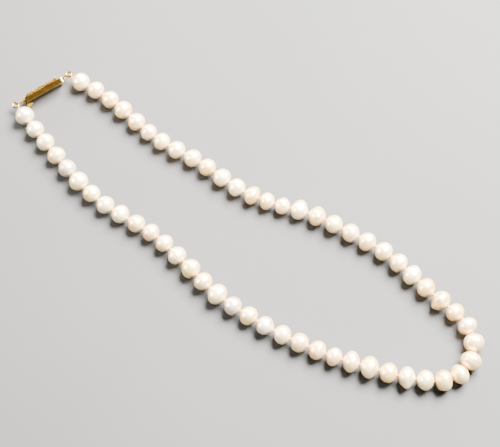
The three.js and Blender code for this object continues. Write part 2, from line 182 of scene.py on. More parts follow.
class Nodes:
    """A small writer for one material's node tree."""

    def __init__(self, name):
        self.material = bpy.data.materials.new(name)
        self.material.use_nodes = True
        self.tree = self.material.node_tree
        self.shader = self.tree.nodes["Principled BSDF"]
        self.place = self.add("ShaderNodeTexCoord").outputs["Object"]

    def add(self, kind, **settings):
        node = self.tree.nodes.new(kind)
        for key, value in settings.items():
            setattr(node, key, value)
        return node

    def link(self, source, target):
        self.tree.links.new(source, target)

    def set(self, **values):
        for key, value in values.items():
            self.shader.inputs[key.replace("_", " ")].default_value = value

    def noise(self, scale, detail=3.0, roughness=0.5, distortion=0.0):
        node = self.add("ShaderNodeTexNoise")
        node.inputs["Scale"].default_value = scale
        node.inputs["Detail"].default_value = detail
        node.inputs["Roughness"].default_value = roughness
        node.inputs["Distortion"].default_value = distortion
        self.link(self.place, node.inputs["Vector"])
        return node.outputs["Fac"]

    def ramp(self, source, stops):
        node = self.add("ShaderNodeValToRGB")
        ramp = node.color_ramp
        while len(ramp.elements) < len(stops):
            ramp.elements.new(0.5)
        for element, (place, colour) in zip(ramp.elements, stops):
            element.position = place
            element.color = (*colour, 1)
        self.link(source, node.inputs["Fac"])
        return node.outputs["Color"]

    def span(self, source, low, high, start=0.3, end=0.7):
        """source from start to end becomes low to high."""
        node = self.add("ShaderNodeMapRange")
        for key, value in (("From Min", start), ("From Max", end), ("To Min", low), ("To Max", high)):
            node.inputs[key].default_value = value
        self.link(source, node.inputs["Value"])
        return node.outputs["Result"]

    def multiply(self, factor, first, second):
        node = self.add("ShaderNodeMix", data_type="RGBA", blend_type="MULTIPLY")
        node.inputs[MIX_FACTOR].default_value = factor
        self.link(first, node.inputs[MIX_FIRST])
        self.link(second, node.inputs[MIX_SECOND])
        return node.outputs[MIX_RESULT]

    def bump(self, height, strength, distance, below=None):
        node = self.add("ShaderNodeBump")
        node.inputs["Strength"].default_value = strength
        node.inputs["Distance"].default_value = distance
        self.link(height, node.inputs["Height"])
        if below is not None:
            self.link(below, node.inputs["Normal"])
        return node.outputs["Normal"]


def nacre(name, body, glow, shade):
    """Pearl: a lustrous body with slow drifts of overtone and faint growth texture, under a warm coat."""
    nodes = Nodes(name)
    drift = nodes.ramp(nodes.noise(150, 2, 0.5, 0.4), [(0.36, shade), (0.5, body), (0.64, glow)])
    mottle = nodes.ramp(
        nodes.noise(1300, 4, 0.6, 0.3), [(0.35, (0.95, 0.93, 0.9)), (0.6, (1.0, 1.0, 1.0))]
    )
    skin = nodes.multiply(0.7, drift, mottle)
    nodes.link(skin, nodes.shader.inputs["Base Color"])
    nodes.link(nodes.span(nodes.noise(450, 3), 0.27, 0.38), nodes.shader.inputs["Roughness"])
    swell = nodes.bump(nodes.noise(330, 3, 0.55, 0.6), 0.4, 0.00025)
    grain = nodes.bump(nodes.noise(2600, 4, 0.6), 0.22, 0.00003, swell)
    nodes.link(grain, nodes.shader.inputs["Normal"])
    nodes.set(
        Metallic=0.7,
        IOR=1.9,
        Coat_Weight=1.0,
        Coat_Roughness=0.13,
        Coat_IOR=1.55,
        Coat_Tint=(1.0, 0.87, 0.60, 1),
        Sheen_Weight=0.08,
        Sheen_Roughness=0.35,
        Sheen_Tint=(1.0, 0.84, 0.82, 1),
        Thin_Film_Thickness=540,
        Thin_Film_IOR=1.4,
    )
    return nodes.material


HAIRLINE_STRETCH = (1.0, 9.0, 3.0)
HAIRLINE_SCALE = 1500
WEAR = 0.04


def gold(name, tone, deep, roughness, scratch):
    """Gold plate: warm metal with a slight drift of tone, hairline scuffs and softly worn patches."""
    nodes = Nodes(name)
    colour = nodes.ramp(nodes.noise(300, 3, 0.5), [(0.3, deep), (0.7, tone)])
    nodes.link(colour, nodes.shader.inputs["Base Color"])
    stretch = nodes.add("ShaderNodeMapping")
    stretch.inputs["Scale"].default_value = HAIRLINE_STRETCH
    stretch.inputs["Rotation"].default_value = (0, 0, -CLASP_TURN)
    nodes.link(nodes.place, stretch.inputs["Vector"])
    hairline = nodes.add("ShaderNodeTexNoise")
    hairline.inputs["Scale"].default_value = HAIRLINE_SCALE
    hairline.inputs["Detail"].default_value = 5
    nodes.link(stretch.outputs["Vector"], hairline.inputs["Vector"])
    worn = nodes.span(nodes.noise(700, 4), roughness, roughness + WEAR, 0.4, 0.7)
    nodes.link(worn, nodes.shader.inputs["Roughness"])
    dents = nodes.bump(nodes.noise(170, 2), 0.015, 0.00008)
    scuffs = nodes.bump(hairline.outputs["Fac"], scratch, 0.00001, dents)
    nodes.link(scuffs, nodes.shader.inputs["Normal"])
    nodes.set(Metallic=1.0, IOR=1.45, Specular_Tint=(1.0, 0.92, 0.75, 1))
    return nodes.material


def silk(name, light, dark):
    """Twisted silk: soft, matt, with fine ply lines and a little sheen."""
    nodes = Nodes(name)
    ply = nodes.noise(5200, 4, 0.6, 0.8)
    nodes.link(nodes.ramp(ply, [(0.35, dark), (0.62, light)]), nodes.shader.inputs["Base Color"])
    nodes.link(nodes.span(nodes.noise(2400, 2), 0.7, 0.95), nodes.shader.inputs["Roughness"])
    nodes.link(nodes.bump(ply, 0.6, 0.00006), nodes.shader.inputs["Normal"])
    nodes.set(Sheen_Weight=0.15, Sheen_Roughness=0.4, Sheen_Tint=(1.0, 0.86, 0.72, 1))
    return nodes.material


# The pearl's body colour, its lighter overtone and its darker one.
NACRES = {
    "cream": nacre("nacre_cream", (0.93, 0.81, 0.54), (0.96, 0.89, 0.70), (0.86, 0.69, 0.39)),
    "ivory": nacre("nacre_ivory", (0.94, 0.88, 0.71), (0.96, 0.93, 0.82), (0.89, 0.79, 0.57)),
    "rose": nacre("nacre_rose", (0.93, 0.77, 0.59), (0.96, 0.87, 0.75), (0.88, 0.65, 0.44)),
    "peach": nacre("nacre_peach", (0.93, 0.74, 0.45), (0.96, 0.84, 0.62), (0.88, 0.62, 0.33)),
    "lavender": nacre("nacre_lavender", (0.74, 0.68, 0.73), (0.85, 0.81, 0.86), (0.62, 0.55, 0.64)),
    "silver": nacre("nacre_silver", (0.86, 0.86, 0.83), (0.92, 0.92, 0.91), (0.75, 0.73, 0.70)),
}
# The metal's colour, its deeper tone, its roughness and the depth of its scuffs.
GOLD_POLISHED = gold("gold_polished", (0.60, 0.335, 0.055), (0.51, 0.275, 0.04), 0.1, 0.3)
# The filigree's gold is a much darker copy of the polished gold: painted shade in its colour.
GOLD_FILIGREE_PAINTED_SHADE = gold("gold_filigree", (0.21, 0.13, 0.012), (0.10, 0.055, 0.005), 0.16, 0.12)
GOLD_WIRE = gold("gold_wire", (0.36, 0.225, 0.022), (0.24, 0.135, 0.011), 0.13, 0.08)
GOLD_SPRING = gold("gold_spring", (0.68, 0.44, 0.066), (0.54, 0.33, 0.04), 0.2, 0.14)
GOLD_GIMP = gold("gold_gimp", (0.58, 0.42, 0.12), (0.40, 0.27, 0.06), 0.28, 0.15)
# The band's paler gold is a painted highlight where the box's end catches the light.
GOLD_BAND_PAINTED_HIGHLIGHT = gold("gold_band_painted_highlight", (0.84, 0.62, 0.26), (0.74, 0.51, 0.18), 0.26, 0.1)
SILK = silk("silk_cream", (0.40, 0.235, 0.125), (0.25, 0.14, 0.07))

# ---------------- mesh helpers


def new_piece(name, shape, material, body, node):
    """A smooth mesh object from a shape in millimetres. Without a body it is left unattached."""
    mesh = bpy.data.meshes.new(name)
    mesh.from_pydata([v * MM for v in shape.vertices], [], shape.faces)
    mesh.validate()
    mesh.materials.append(material)
    mesh.shade_smooth()
    piece = bpy.data.objects.new(name, mesh)
    bpy.context.scene.collection.objects.link(piece)
    if body is not None:
        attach(piece, body)
    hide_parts(node)
    return piece


class Shape:
    """Vertices and faces gathered from several parts of one piece."""

    def __init__(self, *part):
        self.vertices = []
        self.faces = []
        if part:
            self.add(*part)

    def add(self, vertices, faces):
        start = len(self.vertices)
        self.vertices += [Vector(v) for v in vertices]
        self.faces += [[i + start for i in face] for face in faces]

    def place(self, matrix):
        self.vertices = [matrix @ v for v in self.vertices]


def hermite(a, b, c, d, w):
    """A point from b (w is 0) to c (w is 1) on the uniform Catmull-Rom curve through a, b, c and d."""
    t0, t1 = (c - a) / 2, (d - b) / 2
    return (2 * b - 2 * c + t0 + t1) * w**3 + (3 * c - 3 * b - 2 * t0 - t1) * w**2 + t0 * w + b


def smooth_path(points, steps):
    """More points on a uniform Catmull-Rom curve through points."""
    points = [Vector(p) for p in points]
    padded = [points[0] * 2 - points[1], *points, points[-1] * 2 - points[-2]]
    path = []
    for i in range(1, len(padded) - 2):
        path += [hermite(*padded[i - 1:i + 3], k / steps) for k in range(steps)]
    path.append(points[-1])
    return path


def frames_along(points, closed):
    """Tangent and two cross directions at each point, carried along without twist."""
    count = len(points)
    tangents = []
    for i in range(count):
        before = points[i - 1] if closed or i > 0 else points[0]
        after = points[(i + 1) % count] if closed or i < count - 1 else points[-1]
        tangents.append((after - before).normalized())
    first = tangents[0]
    side = first.orthogonal().normalized()
    frames = []
    for tangent in tangents:
        side = (side - tangent * side.dot(tangent)).normalized()
        frames.append((tangent, side, tangent.cross(side)))
    return frames


def tube(points, radius, sides=12, closed=False):
    """A round wire along points. radius is a number, or a function of the point's place from 0 to 1."""
    points = [Vector(p) for p in points]
    frames = frames_along(points, closed)
    count = len(points)
    twist = 0.0
    if closed:
        _, first_side, first_up = frames[0]
        last = frames[-1][1] - frames[0][0] * frames[-1][1].dot(frames[0][0])
        twist = -math.atan2(last.dot(first_up), last.dot(first_side))
    vertices = []
    for i, (point, (_, side, up)) in enumerate(zip(points, frames)):
        size = radius(i / max(count - 1, 1)) if callable(radius) else radius
        turn = twist * i / count
        for k in range(sides):
            angle = 2 * math.pi * k / sides + turn
            vertices.append(point + (side * math.cos(angle) + up * math.sin(angle)) * size)
    faces = []
    rings = count if closed else count - 1
    for i in range(rings):
        here, there = i * sides, ((i + 1) % count) * sides
        for k in range(sides):
            n = (k + 1) % sides
            faces.append([here + k, here + n, there + n, there + k])
    if not closed:
        faces.append(list(range(sides))[::-1])
        faces.append([(count - 1) * sides + k for k in range(sides)])
    return vertices, faces


def ball(centre, radius, rings=10, sides=16, squash=Vector((1, 1, 1))):
    """A closed granule, its radius multiplied along each axis by squash."""
    centre = Vector(centre)
    vertices = [centre + Vector((0, 0, -radius * squash.z))]
    for r in range(1, rings):
        polar = -math.pi / 2 + math.pi * r / rings
        for k in range(sides):
            angle = 2 * math.pi * k / sides
            vertices.append(centre + Vector((
                radius * squash.x * math.cos(polar) * math.cos(angle),
                radius * squash.y * math.cos(polar) * math.sin(angle),
                radius * squash.z * math.sin(polar),
            )))
    vertices.append(centre + Vector((0, 0, radius * squash.z)))
    faces = [[0, 1 + (k + 1) % sides, 1 + k] for k in range(sides)]
    for r in range(rings - 2):
        for k in range(sides):
            a, b = 1 + r * sides + k, 1 + r * sides + (k + 1) % sides
            faces.append([a, b, b + sides, a + sides])
    top = len(vertices) - 1
    last = 1 + (rings - 2) * sides
    faces += [[top, last + k, last + (k + 1) % sides] for k in range(sides)]
    return vertices, faces


# ---------------- strand layout


# The CAD part's repeatable variation, which has to give the same sizes here.
NUMBER_RATE = 12.9898
SALT_RATE = 78.233
WAVE_SIZE = 43758.5453
ROUTE_STEPS = 4000


def vary(number, salt):
    """A value from -0.5 to 0.5 that is always the same for one pearl and salt."""
    wave = math.sin(number * NUMBER_RATE + salt * SALT_RATE) * WAVE_SIZE
    return wave - math.floor(wave) - 0.5


def pearl_size(number):
    """The pearl's length along the strand and its width."""
    if number in ODD_PEARLS:
        return ODD_PEARLS[number]
    front = math.exp(-(((number - FRONT_PEARL) / FRONT_SPREAD) ** 2))
    return (
        PEARL_LENGTH + LENGTH_SPREAD * vary(number, 1),
        PEARL_WIDTH + FRONT_GROWTH * front + WIDTH_SPREAD * vary(number, 2),
    )


def route_point(place):
    """A uniform Catmull-Rom curve through ROUTE, place from 0 to 1."""
    last = len(ROUTE) - 1
    span = place * last
    i = min(int(math.floor(span)), last - 1)
    w = span - i
    points = [Vector((*p, 0)) for p in ROUTE[max(i - 1, 0):i + 3]]
    if i == 0:
        points.insert(0, points[0] * 2 - points[1])
    if i == last - 1:
        points.append(points[-1] * 2 - points[-2])
    return hermite(*points, w)


def lay_out_strand():
    """Knot places, and for each pearl its ends, middle, axes and size."""
    points = [route_point(k / ROUTE_STEPS) for k in range(ROUTE_STEPS + 1)]
    reach = [0.0]
    for a, b in zip(points, points[1:]):
        reach.append(reach[-1] + (b - a).length)
    sizes = [pearl_size(number) for number in range(1, PEARL_COUNT + 1)]
    string = [0.0]
    for length, _ in sizes:
        string.append(string[-1] + length + KNOT_GAP)
    knots = []
    for index, distance in enumerate(string):
        along = distance * reach[-1] / string[-1]
        j = min(max(bisect.bisect_left(reach, along), 1), ROUTE_STEPS)
        w = (along - reach[j - 1]) / (reach[j] - reach[j - 1])
        knot = points[j - 1].lerp(points[j], w) + SHIFT
        before = sizes[max(index - 1, 0)][1]
        after = sizes[min(index, PEARL_COUNT - 1)][1]
        knot.z = max(before, after) / 2
        knots.append(knot)
    pearls = []
    for index, (_, width) in enumerate(sizes):
        start, end = knots[index], knots[index + 1]
        direction = (end - start).normalized()
        side = UP.cross(direction).normalized()
        pearls.append({
            "number": index + 1,
            "start": start,
            "end": end,
            "middle": (start + end) / 2,
            "direction": direction,
            "side": side,
            "up": direction.cross(side),
            "length": (end - start).length - KNOT_GAP,
            "width": width,
        })
    return knots, pearls


KNOTS, PEARLS = lay_out_strand()


def link_of(number):
    """The body that a pearl rides on."""
    return f"link_{(number - 1) // PEARLS_PER_LINK + 1:02d}"


def node_of(number):
    """The CAD node that holds a pearl."""
    place = (number - 1) % PEARLS_PER_LINK
    first = number - place
    whole_link = first + PEARLS_PER_LINK - 1 <= PEARL_COUNT
    if whole_link and place in (1, 2):
        return f"pearls_{first + 1:02d}_{first + 2:02d}"
    return f"pearl_{number:02d}"


# ---------------- pearls

# Towards the viewer's right, left, up and down as the necklace lies, for features of single pearls.
RIGHT, LEFT, FAR, NEAR = IMAGE_RIGHT, -IMAGE_RIGHT, IMAGE_UP, -IMAGE_UP

# Bumps (+) and flats or pits (-): direction, height in mm, angular width in degrees.
FEATURES = {
    4: [(FAR + RIGHT * 0.4, 0.2, 40)],
    8: [(NEAR * 0.7 + LEFT * 0.2 + UP, -0.24, 8), (NEAR * 0.7 + LEFT * 0.2 + UP, 0.16, 16)],
    12: [(NEAR + LEFT * 0.3, 0.25, 38), (FAR + RIGHT, -0.14, 32)],
    13: [
        (FAR * 0.8 + RIGHT, 0.5, 27), (NEAR, 0.3, 40), (NEAR * 0.6 + UP, 0.16, 18),
        (FAR + LEFT, -0.2, 32),
    ],
    15: [(FAR + LEFT * 0.6 + UP * 0.4, -0.25, 26), (NEAR * 0.5 + UP, -0.14, 14)],
    16: [(FAR + RIGHT * 0.35, 0.8, 36), (NEAR + LEFT * 0.6, 0.2, 50), (UP + RIGHT * 0.3, -0.14, 24)],
    17: [
        (FAR + RIGHT * 0.15, 0.6, 30), (UP + NEAR * 0.4 + RIGHT * 0.1, 0.3, 15),
        (FAR + LEFT, -0.22, 26),
    ],
    20: [(NEAR + LEFT * 0.5, 0.2, 36)],
    23: [(FAR + RIGHT * 0.6, 0.3, 42), (UP + RIGHT * 0.5, -0.12, 22)],
    25: [
        (LEFT + NEAR * 0.7, 0.55, 17), (NEAR + RIGHT * 0.35 + UP * 0.2, -0.42, 24),
        (LEFT + FAR * 0.3 + UP * 0.3, -0.34, 24), (UP + LEFT * 0.25, 0.3, 15),
        (UP + LEFT * 0.6 + NEAR * 0.6, -0.26, 13),
    ],
    26: [(UP + NEAR * 0.8 + LEFT * 0.3, 0.22, 14)],
    28: [(FAR + RIGHT, 0.2, 40), (UP + NEAR * 0.4, -0.14, 20)],
    29: [(FAR + RIGHT * 0.8, 0.15, 35), (UP + RIGHT * 0.3, 0.15, 16)],
    31: [(RIGHT + NEAR, 0.28, 26), (LEFT + NEAR, 0.28, 26), (RIGHT + FAR, 0.2, 26)],
    33: [(NEAR + UP * 0.1, 0.8, 26), (FAR, 0.2, 36)],
    35: [(NEAR, 0.35, 38), (FAR, 0.3, 38)],
    36: [(NEAR, 0.3, 38), (FAR, 0.35, 38), (UP, -0.12, 18)],
    39: [(FAR + LEFT * 0.3, 0.25, 34)],
    42: [(NEAR + LEFT * 0.4, 0.25, 34), (UP + FAR * 0.5, -0.12, 18)],
    44: [(FAR, 0.28, 42), (NEAR + LEFT, 0.22, 40)],
    45: [(RIGHT + UP * 0.3 + FAR * 0.3, -0.35, 36)],
    47: [(NEAR + LEFT, 0.22, 34)],
    51: [(FAR + RIGHT * 0.5, 0.25, 34)],
    54: [(LEFT + FAR, 0.25, 28), (RIGHT + NEAR, 0.2, 28), (LEFT + NEAR, 0.2, 28)],
    58: [(LEFT + NEAR + UP * 0.6, 0.36, 9), (LEFT + NEAR * 1.3 + UP * 0.8, -0.16, 12)],
}

PEARL_SHADES = {
    1: "ivory", 2: "rose", 3: "cream", 5: "peach", 8: "rose", 11: "ivory", 13: "peach", 16: "ivory",
    19: "rose", 21: "cream", 23: "ivory", 26: "peach", 28: "rose", 29: "rose", 30: "cream", 32: "ivory",
    34: "peach", 37: "rose", 41: "lavender", 43: "lavender", 44: "ivory", 46: "cream", 49: "rose",
    52: "ivory", 55: "lavender", 57: "ivory", 58: "silver", 59: "silver",
}
COMMON_SHADES = ("cream", "rose", "ivory", "peach", "cream", "ivory", "rose")

# How much longer and wider a pearl's skin is than its CAD solid.
SKIN_LENGTH = 0.1
SKIN_WIDTH = 0.08
PEARL_RINGS = 34
PEARL_SIDES = 48
# The rings are partly spread evenly, and partly crowded towards the two mouths.
RING_CROWDING = 0.25
MOUTH_EDGE = 0.1
# Where the skin rolls into the bore: the depth behind the mouth, and the radius less the bore's.
BORE_LIPS = ((0.07, 0), (0.5, 0.02))

# Shares of a pearl's half width, or of its height.
FLATTENING = 0.02
EGG_SHAPE = 0.05
HINGE_TAPER = 0.07
LUMPS = 5
LUMP_HEIGHT = 0.017
LUMP_RATES = (1.6, 4.2)
LUMP_PHASES = (0, 6.28)
LUMP_WEIGHTS = (0.4, 1.0)

# A shallow groove round some pearls: its place along the pearl, its depth in mm, and its width.
GIRDLE_PLACES = (-0.4, 0.4)
GIRDLE_DEPTHS = (0, 0, 0.05, 0.09)
GIRDLE_WIDTH = 0.06

# The outline's power: 1 is an ellipse, and less is squarer.
ROUNDNESS = 0.99
SQUARE_PEARLS = {31: 0.82, 54: 0.84}


def pearl_mesh(pearl):
    """A drilled, slightly uneven pearl: outer skin from mouth to mouth, rolled into the bore."""
    number = pearl["number"]
    dice = random.Random(number)
    half_length = (pearl["length"] + SKIN_LENGTH) / 2
    half_width = (pearl["width"] + SKIN_WIDTH) / 2
    height = pearl["width"] / 2 * (1 - FLATTENING * dice.random())
    axes = Matrix((pearl["side"], pearl["direction"], pearl["up"])).transposed()
    lumps = []
    for _ in range(LUMPS):
        towards = Vector([dice.uniform(-1, 1) for _ in range(3)]).normalized()
        rate, phase, weight = (dice.uniform(*ends) for ends in (LUMP_RATES, LUMP_PHASES, LUMP_WEIGHTS))
        lumps.append((towards, rate, phase, weight))
    features = [
        (towards.normalized(), size, math.radians(width))
        for towards, size, width in FEATURES.get(number, [])
    ]
    power = SQUARE_PEARLS.get(number, ROUNDNESS)
    egg = EGG_SHAPE * dice.uniform(-1, 1)
    # At a hinge the slimmer end faces the neighbour, so that the two don't touch when they bend.
    hinge = {0: 1, 1: -1}.get(number % PEARLS_PER_LINK, 0)
    if hinge:
        egg = -hinge * abs(egg)
    girdle_place = dice.uniform(*GIRDLE_PLACES)
    girdle_size = dice.choice(GIRDLE_DEPTHS)
    mouth = math.acos((BORE_RADIUS + MOUTH_EDGE) / half_width)

    def skin(latitude, angle):
        sine, cosine = math.sin(latitude), math.cos(latitude)
        reach = cosine**power * (1 - HINGE_TAPER * max(0, hinge * sine) ** 2)
        local = Vector((
            half_width * reach * math.cos(angle) * (1 + egg * sine),
            half_length * sine,
            height * reach * math.sin(angle) * (1 + egg * sine),
        ))
        outward = (axes @ Vector((cosine * math.cos(angle), sine, cosine * math.sin(angle)))).normalized()
        fade = 1 - abs(sine) ** 3
        swell = sum(
            weight * math.sin(rate * outward.dot(towards) + phase)
            for towards, rate, phase, weight in lumps
        )
        bump = LUMP_HEIGHT * half_width * swell
        bump -= girdle_size * math.exp(-(((sine - girdle_place) / GIRDLE_WIDTH) ** 2))
        for towards, size, width in features:
            away = math.acos(max(-1.0, min(1.0, outward.dot(towards))))
            bump += size * math.exp(-((away / width) ** 2))
        point = pearl["middle"] + axes @ local + outward * bump * fade
        point.z = max(point.z, 0.0)
        return point

    rows = []
    for ring in range(PEARL_RINGS + 1):
        place = 2 * ring / PEARL_RINGS - 1
        latitude = mouth * math.sin(math.pi / 2 * place) * RING_CROWDING
        latitude += mouth * place * (1 - RING_CROWDING)
        rows.append([skin(latitude, 2 * math.pi * k / PEARL_SIDES) for k in range(PEARL_SIDES)])
    for end, row in ((1, rows[-1]), (-1, rows[0])):
        level = sum(((p - pearl["middle"]).dot(pearl["direction"]) for p in row)) / len(row)
        for inset, narrower in BORE_LIPS:
            radius = BORE_RADIUS - narrower
            place = pearl["middle"] + pearl["direction"] * (level - end * inset)
            circle = [
                place + axes @ Vector((
                    radius * math.cos(2 * math.pi * k / PEARL_SIDES),
                    0,
                    radius * math.sin(2 * math.pi * k / PEARL_SIDES),
                ))
                for k in range(PEARL_SIDES)
            ]
            if end > 0:
                rows.append(circle)
            else:
                rows.insert(0, circle)
    vertices = [point for row in rows for point in row]
    faces = []
    count = len(rows)
    for r in range(count):
        here, there = r * PEARL_SIDES, ((r + 1) % count) * PEARL_SIDES
        for k in range(PEARL_SIDES):
            n = (k + 1) % PEARL_SIDES
            faces.append([here + k, there + k, there + n, here + n])
    return vertices, faces


def add_pearls():
    for pearl in PEARLS:
        number = pearl["number"]
        name = f"nacre_pearl_{number:02d}"
        shade = PEARL_SHADES.get(number, COMMON_SHADES[number % len(COMMON_SHADES)])
        shape = Shape(*pearl_mesh(pearl))
        new_piece(name, shape, NACRES[shade], link_of(number), node_of(number))


add_pearls()

# ---------------- silk and knots

# The closed loop is opened at this knot, so it has no hinge.
OPEN_KNOT = 28
# The first of the seeds that give each knot its phase.
KNOT_SEED = 900
KNOT_STEPS = 42
KNOT_PHASES = (0, 6.28)
KNOT_RADIUS = 0.33
KNOT_SWING = 0.13
KNOT_HALF_LENGTH = 0.15
KNOT_WIRE = 0.17

PLY_STEP = 0.12
PLY_PITCH = 1.1
# Shares of the thread's radius.
PLY_OFFSET = 0.45
PLY_RADIUS = 0.55
# How far the thread is drawn into a pearl's bore, where it is out of sight.
BORE_REACH = 0.45


def knot_shape(middle, direction, dice):
    """An overhand knot: three crossed turns of thread pulled tight into a small lump."""
    side = UP.cross(direction).normalized()
    up = direction.cross(side)
    turns = []
    phase = dice.uniform(*KNOT_PHASES)
    for k in range(KNOT_STEPS):
        t = 2 * math.pi * k / KNOT_STEPS
        around = 2 * t + phase
        radius = KNOT_RADIUS + KNOT_SWING * math.cos(3 * t)
        along = KNOT_HALF_LENGTH * math.sin(3 * t)
        outward = side * math.cos(around) + up * math.sin(around)
        turns.append(middle + direction * along + outward * radius)
    return tube(turns, KNOT_WIRE, 8, closed=True)


def ply(start, end, radius):
    """Two twisted plies along a straight stretch."""
    length = (end - start).length
    side = (end - start).normalized().orthogonal().normalized()
    up = (end - start).normalized().cross(side)
    steps = max(int(length / PLY_STEP), 4)
    strands = []
    for offset in (0, math.pi):
        path = []
        for k in range(steps + 1):
            place = start.lerp(end, k / steps)
            angle = offset + 2 * math.pi * length * k / steps / PLY_PITCH
            path.append(place + (side * math.cos(angle) + up * math.sin(angle)) * radius * PLY_OFFSET)
        strands.append(tube(path, radius * PLY_RADIUS, 6))
    return strands


def bending_knot(number, knot):
    """The knot at a hinge: a piece of its own with no body, its place baked into its mesh."""
    piece = new_piece(f"silk_knot_{number:02d}", Shape(*knot), SILK, None, "silk_thread")
    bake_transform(piece)


def add_silk():
    """One piece of thread for each link: a stretch through every pearl's mouths, and its knots."""
    for first in range(1, PEARL_COUNT + 1, PEARLS_PER_LINK):
        last = min(first + PEARLS_PER_LINK - 1, PEARL_COUNT)
        shape = Shape()
        for number in range(first, last + 1):
            pearl = PEARLS[number - 1]
            start, end = pearl["start"], pearl["end"]
            reach = pearl["direction"] * (KNOT_GAP / 2 + BORE_REACH)
            for stretch in ((start, start + reach), (end - reach, end)):
                for part in ply(*stretch, THREAD_RADIUS):
                    shape.add(*part)
            if number < PEARL_COUNT:
                after = PEARLS[number]
                direction = (pearl["direction"] + after["direction"]).normalized()
                knot = knot_shape(end, direction, random.Random(KNOT_SEED + number))
                if number % PEARLS_PER_LINK == 0 and number != OPEN_KNOT:
                    bending_knot(number, knot)
                else:
                    shape.add(*knot)
        name = f"silk_{first:02d}_{last:02d}"
        new_piece(name, shape, SILK, link_of(first), "silk_thread")


add_silk()

# ---------------- rings, eyes and gimp

# A ring's seam: the angle that it leaves open, how far its ends stand apart, and how they are rounded off.
SEAM_GAP = 0.05
SEAM_OFFSET = 0.03
SEAM_ROUNDING = 0.12
SEAM_PART = 0.03
RING_STEPS = 72

EYE_STEPS = 24
# An eye's legs: their ends, where they start to run straight, and their heights as shares of its radius.
LEG_END = -0.25
LEG_BEND = 0.35
LEG_END_HEIGHT = 0.62
LEG_BEND_HEIGHT = 0.66
SOLDER_X = 0.02
SOLDER_HEIGHT = 0.64
SOLDER_RADIUS = 0.34
SOLDER_SQUASH = Vector((0.7, 1, 1))

COIL_STEPS_A_TURN = 9
GIMP_COIL_WIRE = 0.055
GIMP_COIL_PITCH = 0.125
GIMP_STEPS = 48
GIMP_CORE_CLEARANCE = 0.09
TAIL_RADIUS = 0.12

def ring_piece(name, place, body, node, seam):
    """A jump ring of round wire with a fine cut where it was closed."""
    points = []
    for k in range(RING_STEPS + 1):
        angle = seam + SEAM_GAP / 2 + (2 * math.pi - SEAM_GAP) * k / RING_STEPS
        points.append(CLASP @ Vector((
            place[0] + RING_RADIUS * math.cos(angle),
            place[1] + RING_RADIUS * math.sin(angle),
            LINK_HEIGHT + SEAM_OFFSET * math.sin((angle - seam) / 2 - math.pi / 2),
        )))

    def wire(t):
        towards_seam = max(0, abs(2 * t - 1) - (1 - SEAM_PART)) / SEAM_PART
        return RING_WIRE * (1 - SEAM_ROUNDING * towards_seam)

    new_piece(name, Shape(*tube(points, wire, 16)), GOLD_WIRE, body, node)


def eye_piece(name, plate_x, ring_place, body, node):
    """A bent wire eye with a bead of solder where each leg meets its plate."""
    across = ring_place[1] - EYE_PLACE_Y
    along = ring_place[0] - plate_x
    leg = math.hypot(along, across) - RING_RADIUS
    turn = math.atan2(across, along)
    place = Matrix.Translation((plate_x, EYE_PLACE_Y, LINK_HEIGHT)) @ Matrix.Rotation(turn, 4, "Z")
    points = [
        Vector((LEG_END, 0, -EYE_RADIUS * LEG_END_HEIGHT)),
        Vector((LEG_BEND, 0, -EYE_RADIUS * LEG_BEND_HEIGHT)),
    ]
    for k in range(EYE_STEPS + 1):
        angle = -math.pi / 2 + math.pi * k / EYE_STEPS
        points.append(Vector((leg + EYE_RADIUS * math.cos(angle), 0, EYE_RADIUS * math.sin(angle))))
    points += [
        Vector((LEG_BEND, 0, EYE_RADIUS * LEG_BEND_HEIGHT)),
        Vector((LEG_END, 0, EYE_RADIUS * LEG_END_HEIGHT)),
    ]
    shape = Shape(*tube(smooth_path(points, 6), EYE_WIRE, 12))
    for z in (-EYE_RADIUS * SOLDER_HEIGHT, EYE_RADIUS * SOLDER_HEIGHT):
        shape.add(*ball((SOLDER_X, 0, z), SOLDER_RADIUS, 8, 12, SOLDER_SQUASH))
    shape.place(CLASP @ place)
    new_piece(name, shape, GOLD_WIRE, body, node)


def coil(path, radius, wire, pitch):
    """A fine wire wound round a closed path."""
    frames = frames_along(path, True)
    count = len(path)
    total = sum((path[(i + 1) % count] - path[i]).length for i in range(count))
    turns = round(total / pitch)
    steps = turns * COIL_STEPS_A_TURN
    points = []
    for k in range(steps):
        place = k / steps * count
        i = min(int(place), count - 1)
        j = (i + 1) % count
        w = place - i
        side = frames[i][1].lerp(frames[j][1], w).normalized()
        up = frames[i][2].lerp(frames[j][2], w).normalized()
        angle = 2 * math.pi * turns * k / steps
        centre = path[i].lerp(path[j], w)
        points.append(centre + (side * math.cos(angle) + up * math.sin(angle)) * radius)
    return tube(points, wire, 5, closed=True)


def gimp_piece(name, knot, ring_place, body, node):
    """The thread's end loop: silk inside a close coil of fine gold wire, round the ring's wire."""
    ring = CLASP @ Vector((ring_place[0], ring_place[1], LINK_HEIGHT))
    outward = knot - ring
    outward.z = 0
    outward.normalize()
    middle = ring + outward * RING_RADIUS
    loop = [
        middle + outward * GIMP_RADIUS * math.cos(a) + UP * GIMP_RADIUS * math.sin(a)
        for a in (2 * math.pi * k / GIMP_STEPS for k in range(GIMP_STEPS))
    ]
    shape = Shape(*coil(loop, GIMP_WIRE - GIMP_COIL_WIRE, GIMP_COIL_WIRE, GIMP_COIL_PITCH))
    new_piece(name, shape, GOLD_GIMP, body, node)
    core = Shape(*tube(loop, GIMP_WIRE - GIMP_CORE_CLEARANCE, 8, closed=True))
    foot = middle + outward * (GIMP_RADIUS + 0.05)
    end = foot.lerp(knot, 0.5)
    core.add(*tube([foot, end, knot + outward * 0.5], THREAD_RADIUS, 8))
    core.add(*knot_shape(end, outward, random.Random(len(name))))
    tail = [end + UP * 0.3, end + UP * 0.62 - outward * 0.2, end + UP * 0.75 - outward * 0.6]
    core.add(*tube(smooth_path(tail, 5), lambda t: TAIL_RADIUS * (1 - 0.5 * t), 7))
    new_piece(f"{name}_silk", core, SILK, body, node)


